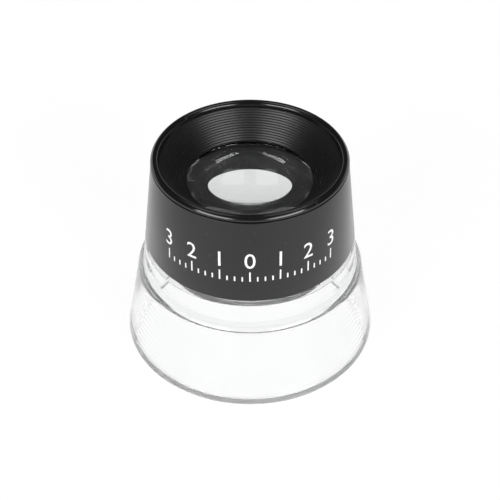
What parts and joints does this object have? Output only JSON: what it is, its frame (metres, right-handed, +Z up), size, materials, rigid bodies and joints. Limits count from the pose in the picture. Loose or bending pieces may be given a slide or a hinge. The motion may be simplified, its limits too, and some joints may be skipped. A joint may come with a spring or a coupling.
{
  "type": "viewing loupe",
  "caption": "Focusing viewing loupe: a clear plastic skirt stand under a black tapered eyepiece with a round lip and a stepped funnel over the lens.",
  "frame": {"origin": "centre of the stand's foot, on the film or print it rests on", "axes": "+Z up along the optical axis, from the foot to the eyecup; -Y is the front"},
  "size_m": [0.046, 0.046, 0.0384],
  "materials": {
    "clear_plastic": "clear, polished",
    "lens_glass": "clear, polished",
    "satin_black": "fine satin",
    "gloss_black": "gloss",
    "matt_black": "matt, to stop glare"
  },
  "bodies": {
    "stand": {"clear_stand": "clear_plastic"},
    "lens_group": {"lens_tube": "matt_black", "lower_lens": "lens_glass", "lens_spacer": "matt_black", "upper_lens": "lens_glass", "retaining_ring": "matt_black"},
    "eyepiece_shell": {"focus_barrel": "satin_black", "eyecup": "gloss_black"}
  },
  "joints": [
    {"name": "focus_travel", "type": "slide", "parent": "stand", "child": "lens_group", "axis": [0, 0, 1], "range_m": [-0.0008, 0.0024]},
    {"name": "focus_turn", "type": "hinge", "parent": "lens_group", "child": "eyepiece_shell", "pos_m": [0, 0, 0.0295], "axis": [0, 0, 1], "range_deg": [-90, 270]}
  ],
  "couplings": [
    {"joint": "focus_travel", "follows": "focus_turn", "m_per_rad": 0.0005092}
  ]
}
